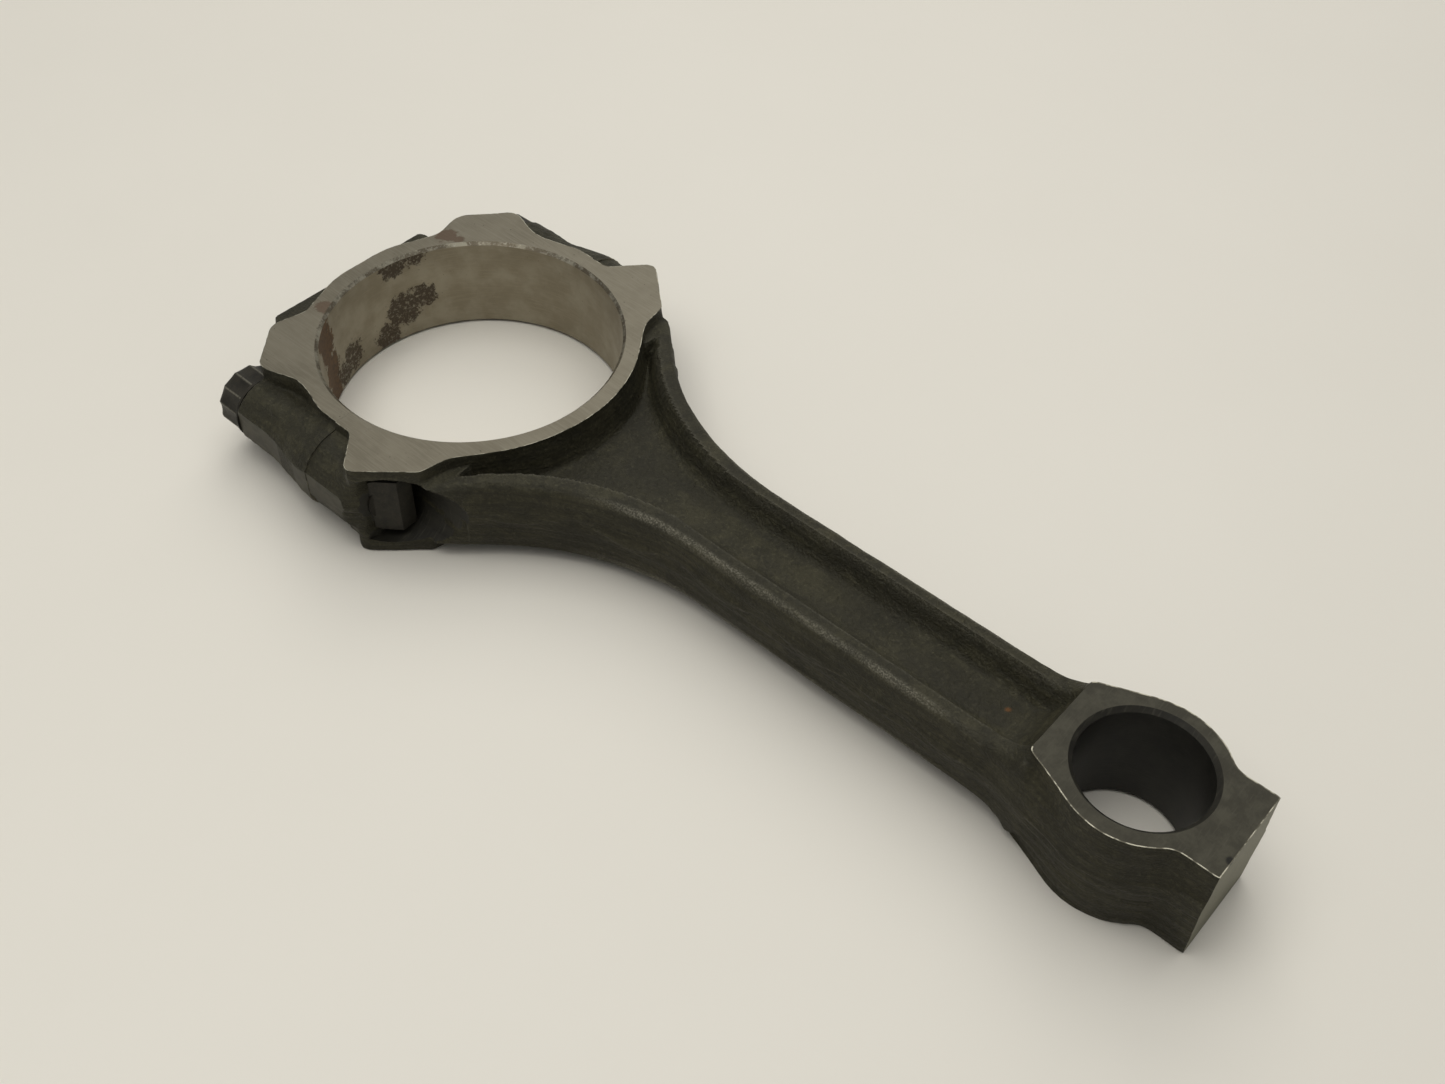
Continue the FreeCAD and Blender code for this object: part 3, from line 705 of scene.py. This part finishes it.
def hollow_floor(x, y):
    """Height of the web above the middle plane, or None outside the hollow."""
    from_ring = math.hypot(x, y) - RING_R
    from_flange = HOLLOW_Y - abs(y)
    if x < HOLLOW_FLARE_X:
        centre_y = HOLLOW_Y + HOLLOW_FLARE_R
        from_flange = math.hypot(x - HOLLOW_FLARE_X, abs(y) - centre_y) - HOLLOW_FLARE_R
    from_face = FACE_X - x
    if x < 28 * MM or min(from_ring, from_flange, from_face) <= 0:
        return None
    return max(cove(from_ring, RING_COVE, SHANK_Z),
               cove(from_flange, FLANGE_COVE, shelf(x)),
               cove(from_face, FACE_COVE, PIN_Z))


def shape_rod(bm):
    """Ramp, hollow, draft and dress the rod's skin before it is machined."""
    relax(bm, bm.verts[:], 3)
    hollow = []
    for vert in bm.verts:
        x, y, z = vert.co
        if x > RAMP_X:
            vert.co.z = math.copysign(lifted(x, abs(z)), z)
        depth = hollow_floor(x, y)
        ring_wall = x < MID_X and abs(z) > SHANK_Z + 0.6 * MM
        if depth is not None and not ring_wall:
            if x > MID_X:
                depth = min(abs(vert.co.z), depth)
            vert.co.z = math.copysign(depth, z)
            hollow.append(vert)
    relax(bm, hollow, 4)
    bm.normal_update()
    moves = []
    for vert in bm.verts:
        x, y, z = vert.co
        top = SHANK_Z + (PIN_Z - SHANK_Z) * ramp(x, 138 * MM, 162 * MM)
        in_ear = x < EAR_X and abs(y) > EAR_Y
        side = Vector((vert.normal.x, vert.normal.y, 0))
        steep = ramp(side.length, 0.5, 0.95)
        outside = steep * ramp(abs(y), 7 * MM, 9 * MM)
        draft = 0.0 if in_ear else ROD_DRAFT * max(0.0, top - abs(z)) * steep
        flat_side = side.normalized() if side.length > 0 else side
        toward_tail = ramp(x, 172 * MM, 190 * MM)
        trim_z = (1.4 + 3.2 * toward_tail + noise.noise(Vector((x * 150, 0, 3)))) * MM
        trim = (0.24 + 0.2 * toward_tail) * MM * (1 - ramp(abs(z), trim_z, trim_z + 0.5 * MM))
        split_z = (0.6 + 2.2 * noise.noise(Vector((x * 90, 0, 6)))) * MM
        halves = -DIE_STEP * (2 * ramp(z, split_z - 0.5 * MM, split_z + 0.5 * MM) - 1)
        lines = flow(vert.co)
        moves.append(flat_side * (draft + (trim + lines) * outside) + vert.normal * uneven(vert.co)
                     + Vector((0, halves * outside, 0)))
    for vert, move in zip(bm.verts, moves):
        vert.co += move
        x = vert.co.x
        thicker = EXTRA_FLANGE * ramp(x, 84 * MM, 52 * MM) * ramp(x, 22 * MM, 36 * MM)
        vert.co.z *= 1 + thicker
        vert.co.y = max(-ROD_FLAT_Y, min(ROD_FLAT_Y, vert.co.y))
    neck = [vert for vert in bm.verts if 146 * MM < vert.co.x < 158 * MM
            and abs(vert.co.z) < PIN_Z - 1.2 * MM]
    relax(bm, neck, 4)


def flange_scuff_and_sheen(point):
    """The narrow scuffed line along each flange's outer edge, fading at both ends; it also carries
    a painted highlight of the rounded edge.
    """
    x, y, z = point
    off_line = abs(y) - (flank_y(x) - 0.55 * MM)
    line = 1 - ramp(abs(off_line), 0.25 * MM, 1.0 * MM)
    along = ramp(x, 46 * MM, 60 * MM) * (1 - ramp(x, 132 * MM, 147 * MM))
    patchy = 0.75 + 0.8 * noise.noise(Vector((x * 110, y * 40, 9)))
    return max(0.0, line * along * patchy) if abs(z) > 6.8 * MM else 0.0


def shape_cap(bm):
    """Draft and dress the cap's skin before it is machined."""
    relax(bm, bm.verts[:], 3)
    bm.normal_update()
    for vert in bm.verts:
        x, y, z = vert.co
        side = Vector((vert.normal.x, vert.normal.y, 0))
        steep = ramp(side.length, 0.5, 0.95)
        inboard = 1 - ramp(abs(y), 30 * MM, 36 * MM)
        draft = CAP_DRAFT * max(0.0, THRUST_Z - abs(z)) * steep * inboard
        flat_side = side.normalized() if side.length > 0 else side
        rough = 1.0 + 2.0 * ramp(abs(y), 30 * MM, 36 * MM)
        vert.co += flat_side * draft + vert.normal * uneven(vert.co) * rough
        limit = CAP_FLAT_Y + 2.2 * MM * ramp(x, -16 * MM, -1 * MM)
        vert.co.y = max(-limit, min(limit, vert.co.y))
        vert.co.x = max(CAD_BOX[0].x, vert.co.x)


def unscuffed(point):
    """The cap has no scuffed line anywhere."""
    return 0.0


def forging(node, shape, wear, cutters, pitch):
    """Skin a CAD solid, shape the skin, then machine it."""
    piece = skinned(stock_left(node, STOCK), "forged_" + node, pitch)
    bm = bmesh.new()
    bm.from_mesh(piece.data)
    shape(bm)
    store_wear_and_sheen(bm, wear)
    bm.to_mesh(piece.data)
    bm.free()
    machine(piece, cutters)
    piece.data.materials.clear()
    for material in finishes:
        piece.data.materials.append(material)
    name_faces(piece, finish_of)
    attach(piece, node)
    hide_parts(node)


def thrust_cutters(x_low, x_high, half_thickness):
    """Slabs that face a forging to its thickness, above and below."""
    return [block((x_low, -FAR, half_thickness), (x_high, FAR, half_thickness + CUT_DEPTH)),
            block((x_low, -FAR, -half_thickness - CUT_DEPTH), (x_high, FAR, -half_thickness))]


rod_cutters = thrust_cutters(-FAR, MID_X, THRUST_Z) + thrust_cutters(MID_X, 3 * FAR, PIN_Z)
rod_cutters += [
    block((-FAR, -FAR, -FAR), (JOINT_GAP, FAR, FAR)),
    block((TAIL_X, -FAR, -FAR), (TAIL_X + 20 * MM, FAR, FAR)),
    bore_cutter(0, CRANK_R, THRUST_Z, CRANK_CHAMFER),
    bore_cutter(PIN_X, PIN_R, PIN_Z, PIN_CHAMFER),
]
cap_cutters = thrust_cutters(-FAR, FAR, THRUST_Z) + [
    block((-JOINT_GAP, -FAR, -FAR), (FAR, FAR, FAR)),
    bore_cutter(0, CRANK_R, THRUST_Z, CRANK_CHAMFER),
]
for side in (-1, 1):
    rod_cutters.append(rod_cutter(-10 * MM, HEAD_SEAT_X + 1 * MM, BOLT_HOLE_R, side * BOLT_Y))
    rod_cutters.append(rod_cutter(HEAD_SEAT_X, 40 * MM, POCKET_R, side * POCKET_Y))
    cap_cutters.append(rod_cutter(-60 * MM, 10 * MM, BOLT_HOLE_R, side * BOLT_Y))
    cap_cutters.append(rod_cutter(-60 * MM, NUT_SEAT_X, SPOT_FACE_R, side * BOLT_Y))

coarse = 1.0
forging("rod", shape_rod, flange_scuff_and_sheen, rod_cutters, 0.53 * MM * coarse)
forging("cap", shape_cap, unscuffed, cap_cutters, 0.42 * MM * coarse)


# ------------------------------------------------------------------ bolts and nuts

HEAD_FOOT_Y, HEAD_BROW_Y, HEAD_INNER_Y = 42.5 * MM, 38.8 * MM, 35.0 * MM
HEAD_R, HEAD_HALF_Z, HEAD_ROUND = 7.6 * MM, 7.0 * MM, 0.9 * MM
HEAD_CORNER = 0.35
SHANK_IN_HEAD, SHANK_SHORT = 0.5 * MM, 0.3 * MM
NUT_R = 7.5 * MM
NUT_POINTS = 12
FLUTE_DEPTH = 0.62 * MM
RIDGE_TURN = math.radians(12)
THREAD_PITCH, THREAD_DEPTH, THREAD_TURNS = 1.06 * MM, 0.45 * MM, 14
THREAD_START = 0.9 * MM


def own_piece(bm, name, body, node):
    """Make a bolt or nut from its bmesh, riding on a body in place of a node."""
    bmesh.ops.recalc_face_normals(bm, faces=bm.faces)
    piece = stand_in(name, from_bmesh(bm, name))
    piece.data.materials.append(oxide)
    for face in piece.data.polygons:
        face.use_smooth = True
    piece.data.set_sharp_from_angle(angle=math.radians(32))
    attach(piece, body)
    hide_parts(node)


def keep_below(bm, point, normal):
    """Cut a closed solid with a plane, keep the side the normal points away from, and cap it."""
    geometry = bm.verts[:] + bm.edges[:] + bm.faces[:]
    cut = bmesh.ops.bisect_plane(bm, geom=geometry, plane_co=point, plane_no=normal,
                                 clear_outer=True, dist=1e-7)
    rim = [item for item in cut["geom_cut"] if isinstance(item, bmesh.types.BMEdge)]
    bmesh.ops.contextual_create(bm, geom=rim)


def bolt_profile(length):
    """Outline of the shank: chamfered point, closed thread ridges, runout and plain barrel."""
    root = BOLT_R - THREAD_DEPTH
    profile = [(0, 0), (0, root - 0.3 * MM), (0.7 * MM, root)]
    for turn_count in range(THREAD_TURNS):
        foot = THREAD_START + turn_count * THREAD_PITCH
        profile += [(foot, root), (foot + 0.44 * THREAD_PITCH, BOLT_R),
                    (foot + 0.56 * THREAD_PITCH, BOLT_R)]
    runout = THREAD_START + THREAD_TURNS * THREAD_PITCH
    return profile + [(runout, root), (runout + 0.8 * MM, BOLT_R), (length, BOLT_R), (length, 0)]


def bolt(side):
    """Bolt with a flat-sided head whose outboard corner slopes with the rod's shoulder."""
    axis_y = side * BOLT_Y
    thickness = HEAD_TOP_X - HEAD_SEAT_X
    head = turned([(0, 0), (0, HEAD_R), (thickness, HEAD_R), (thickness, 0)],
                  (HEAD_SEAT_X, axis_y, 0), (1, 0, 0), steps=96)
    bmesh.ops.dissolve_limit(head, angle_limit=0.01, verts=head.verts, edges=head.edges)
    keep_below(head, (0, side * HEAD_INNER_Y, 0), (0, -side, 0))
    for up in (-1, 1):
        keep_below(head, (0, 0, up * HEAD_HALF_Z), (0, 0, up))
    facet = Vector((HEAD_FOOT_Y - HEAD_BROW_Y, side * thickness, 0)).normalized()
    keep_below(head, (HEAD_SEAT_X, side * HEAD_FOOT_Y, 0), facet)
    corners = [edge for edge in head.edges if edge.calc_face_angle(0) > HEAD_CORNER]
    bmesh.ops.bevel(head, geom=corners, offset=HEAD_ROUND, segments=4, profile=0.5,
                    affect="EDGES", material=-1, clamp_overlap=True)
    end = NUT_END_X + SHANK_SHORT
    length = HEAD_SEAT_X - end + SHANK_IN_HEAD
    shank = turned(bolt_profile(length), (end, axis_y, 0), (1, 0, 0), steps=64)
    mesh = from_bmesh(head, "head")
    shank.from_mesh(mesh)
    bpy.data.meshes.remove(mesh)
    layer = shank.verts.layers.float.new("wear")
    for vert in shank.verts:
        vert[layer] = 0.0
    return shank


def nut(side):
    """Twelve-point nut: hollow flutes between sharp ridges, a round collar and a domed end."""
    bm = bmesh.new()
    bmesh.ops.create_circle(bm, cap_ends=False, radius=NUT_R, segments=144)
    layer = bm.verts.layers.float.new("wear")
    height = NUT_SEAT_X - NUT_END_X
    hole_r = BOLT_R + 0.05 * MM
    # (share of the height, share of the flute's depth, radius) from the seat up the outside,
    # over the domed end and back down the hole
    levels = [(0.07, 0, NUT_R), (0.10, 0.55, NUT_R), (0.16, 1, NUT_R), (0.80, 1, NUT_R),
              (0.90, 0.9, NUT_R - 0.25 * MM), (0.97, 0.5, NUT_R - 0.8 * MM),
              (1.0, 0, NUT_R - 1.5 * MM), (1.0, 0, hole_r + 0.7 * MM),
              (0.91, 0, hole_r), (0, 0, hole_r)]
    rim = bm.edges[:]
    for lift, flute, reach in levels:
        made = bmesh.ops.extrude_edge_only(bm, edges=rim)["geom"]
        rim = [item for item in made if isinstance(item, bmesh.types.BMEdge)]
        for vert in {vert for edge in rim for vert in edge.verts}:
            angle = math.atan2(vert.co.y, vert.co.x)
            hollow = abs(math.sin(NUT_POINTS / 2 * (angle - RIDGE_TURN))) ** 0.8
            radius = reach - flute * FLUTE_DEPTH * hollow
            vert.co = Vector((math.cos(angle) * radius, math.sin(angle) * radius, lift * height))
            vert[layer] = 1.0 if flute > 0.5 and hollow < 0.15 else 0.0
        rim = [edge for edge in rim if edge.is_boundary]
    bmesh.ops.bridge_loops(bm, edges=[edge for edge in bm.edges if edge.is_boundary])
    turn = Matrix(((0, 0, -1), (1, 0, 0), (0, 1, 0))).to_4x4()
    place = Matrix.Translation((NUT_SEAT_X, side * BOLT_Y, 0))
    bmesh.ops.transform(bm, matrix=place @ turn, verts=bm.verts)
    return bm


for side, label in ((-1, "near"), (1, "far")):
    own_piece(bolt(side), "shank_bolt_" + label, "rod", "bolt_" + label)
    own_piece(nut(side), "twelve_point_nut_" + label, "nut_" + label, "nut_" + label)


# ------------------------------------------------------------------ floor, light and camera


def floor():
    """Pale warm bench top, level with the two edges that the rod rests on."""
    bm = bmesh.new()
    bmesh.ops.create_grid(bm, x_segments=1, y_segments=1, size=3.0)
    rest_x, rest_z = -37.4 * MM, -THRUST_Z
    tilt = math.atan2(PIN_Z - THRUST_Z, FACE_X - rest_x)
    bmesh.ops.rotate(bm, verts=bm.verts, cent=(0, 0, 0), matrix=Matrix.Rotation(tilt, 3, "Y"))
    bmesh.ops.translate(bm, verts=bm.verts, vec=(rest_x, 0, rest_z))
    bench = stand_in("bench_top", from_bmesh(bm, "bench_top"))
    paint = Finish("bench_paint", roughness=0.55)
    cloud = paint.noise(60 * MM, detail=3)
    shade = paint.blend(cloud, (0.725, 0.702, 0.635), (0.750, 0.727, 0.660))
    bench.data.materials.append(paint.coat(shade))


def lamp(name, place, target, size, power, colour):
    """A soft rectangular lamp at a place, turned towards a target."""
    light = bpy.data.lights.new(name, "AREA")
    light.shape = "RECTANGLE"
    light.size, light.size_y = size
    light.energy = power
    light.color = colour
    thing = stand_in(name, light)
    thing.location = place
    thing.rotation_euler = (Vector(target) - Vector(place)).to_track_quat("-Z", "Y").to_euler()


def studio():
    """A large soft ceiling lamp, a window behind, a weak fill and a dim warm surround."""
    world = bpy.data.worlds.new("studio")
    world.use_nodes = True
    background = world.node_tree.nodes["Background"]
    background.inputs["Color"].default_value = (1.0, 0.985, 0.96, 1)
    background.inputs["Strength"].default_value = 0.27
    bpy.context.scene.world = world
    lamp("ceiling", (-0.05, 0.10, 1.2), (0.06, -0.02, 0), (1.3, 1.0), 7.6, (1.0, 0.98, 0.94))
    lamp("window", (-0.35, 0.75, 0.8), (0.06, 0, 0), (0.8, 0.6), 2.8, (1.0, 0.97, 0.92))
    lamp("fill", (0.02, -0.30, 0.65), (0.05, -0.10, 0), (0.5, 0.4), 1.1, (1.0, 0.98, 0.94))
    bpy.context.scene.view_settings.view_transform = "Standard"


def camera():
    """The camera, looking down along the rod from above the pin end's near side."""
    data = bpy.data.cameras.new("camera")
    data.sensor_width = 36.0
    data.lens = 39.14
    data.clip_start = 0.01
    eye = stand_in("camera", data)
    right = Vector((0.7509, 0.6599, 0.0256))
    up = Vector((-0.4999, 0.5427, 0.6749))
    back = Vector((0.4315, -0.5196, 0.7374))
    eye.matrix_world = Matrix((right, up, back)).transposed().to_4x4()
    eye.location = (0.2139, -0.1683, 0.2379)
    bpy.context.scene.camera = eye


floor()
studio()
camera()
